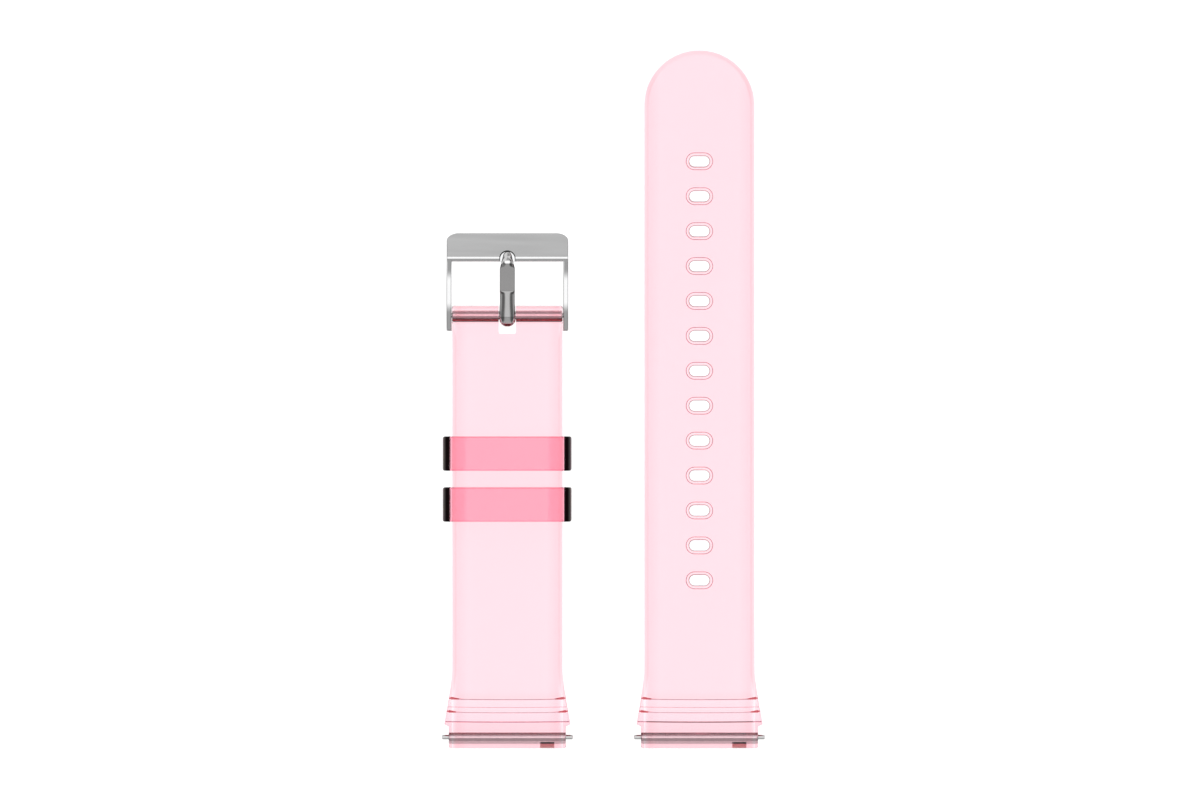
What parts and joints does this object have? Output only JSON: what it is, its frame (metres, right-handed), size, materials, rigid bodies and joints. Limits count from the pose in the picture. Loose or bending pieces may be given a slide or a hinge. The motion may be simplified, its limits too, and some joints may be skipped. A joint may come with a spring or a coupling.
{
  "type": "quick-release wrist band",
  "caption": "Two-piece translucent wrist band with lever-released spring bars, a tang buckle, sliding keepers and oblong adjustment holes.",
  "frame": {"origin": "middle of the pair of halves as they lie, on the surface under them", "axes": "+Y along the straps from the lug ends to the free ends, +X across the band towards the hole half, +Z the outer face of the band"},
  "size_m": [0.0538, 0.1164, 0.007],
  "materials": {
    "clear_strap": "translucent, smooth moulded, pale pink",
    "clear_keeper": "translucent, smooth moulded, deeper pink",
    "brushed_frame": "brushed plate with polished bevel and arms",
    "polished_prong": "polished",
    "turned_bar": "fine turned",
    "spring_wire": "drawn wire"
  },
  "bodies": {
    "buckle_half": {"strap_buckle_side": "clear_strap", "buckle_bar_tube": "turned_bar", "buckle_bar_spring": "spring_wire", "lug_bar_a_tube": "turned_bar", "lug_bar_a_fixed_tip": "turned_bar", "lug_bar_a_spring": "spring_wire"},
    "hole_half": {"strap_hole_side": "clear_strap", "lug_bar_b_tube": "turned_bar", "lug_bar_b_fixed_tip": "turned_bar", "lug_bar_b_spring": "spring_wire"},
    "frame": {"buckle_frame": "brushed_frame"},
    "prong": {"buckle_prong": "polished_prong"},
    "upper_keeper": {"keeper_upper": "clear_keeper"},
    "lower_keeper": {"keeper_lower": "clear_keeper"},
    "release_a": {"lug_bar_a_plunger": "turned_bar", "lug_bar_a_lever": "turned_bar"},
    "release_b": {"lug_bar_b_plunger": "turned_bar", "lug_bar_b_lever": "turned_bar"},
    "buckle_tip_left": {"buckle_bar_tip_left": "turned_bar"},
    "buckle_tip_right": {"buckle_bar_tip_right": "turned_bar"}
  },
  "joints": [
    {"name": "halves_apart", "type": "slide", "parent": "buckle_half", "child": "hole_half", "axis": [1, 0, 0], "range_m": [-0.008, 0.04]},
    {"name": "buckle_hinge", "type": "hinge", "parent": "buckle_half", "child": "frame", "pos_m": [-0.016, 0.01396, 0.00235], "axis": [1, 0, 0], "range_deg": [-70, 65]},
    {"name": "prong_hinge", "type": "hinge", "parent": "frame", "child": "prong", "pos_m": [-0.016, 0.01396, 0.00235], "axis": [1, 0, 0], "range_deg": [0, 60]},
    {"name": "upper_keeper_slide", "type": "slide", "parent": "buckle_half", "child": "upper_keeper", "axis": [0, 1, 0], "range_m": [-0.0012, 0.015]},
    {"name": "lower_keeper_slide", "type": "slide", "parent": "buckle_half", "child": "lower_keeper", "axis": [0, 1, 0], "range_m": [-0.0245, 0.0012]},
    {"name": "lug_release_a", "type": "slide", "parent": "buckle_half", "child": "release_a", "axis": [1, 0, 0], "range_m": [-0.0011, 0], "stiffness_N_per_m": 500, "springref_m": 0.004, "deforming": ["lug_bar_a_spring"]},
    {"name": "lug_release_b", "type": "slide", "parent": "hole_half", "child": "release_b", "axis": [1, 0, 0], "range_m": [-0.0011, 0], "stiffness_N_per_m": 500, "springref_m": 0.004, "deforming": ["lug_bar_b_spring"]},
    {"name": "buckle_pin_left", "type": "slide", "parent": "buckle_half", "child": "buckle_tip_left", "axis": [1, 0, 0], "range_m": [0, 0.00065], "stiffness_N_per_m": 500, "springref_m": -0.004, "deforming": ["buckle_bar_spring"]},
    {"name": "buckle_pin_right", "type": "slide", "parent": "buckle_half", "child": "buckle_tip_right", "axis": [1, 0, 0], "range_m": [-0.00065, 0], "stiffness_N_per_m": 500, "springref_m": 0.004, "deforming": ["buckle_bar_spring"]}
  ]
}
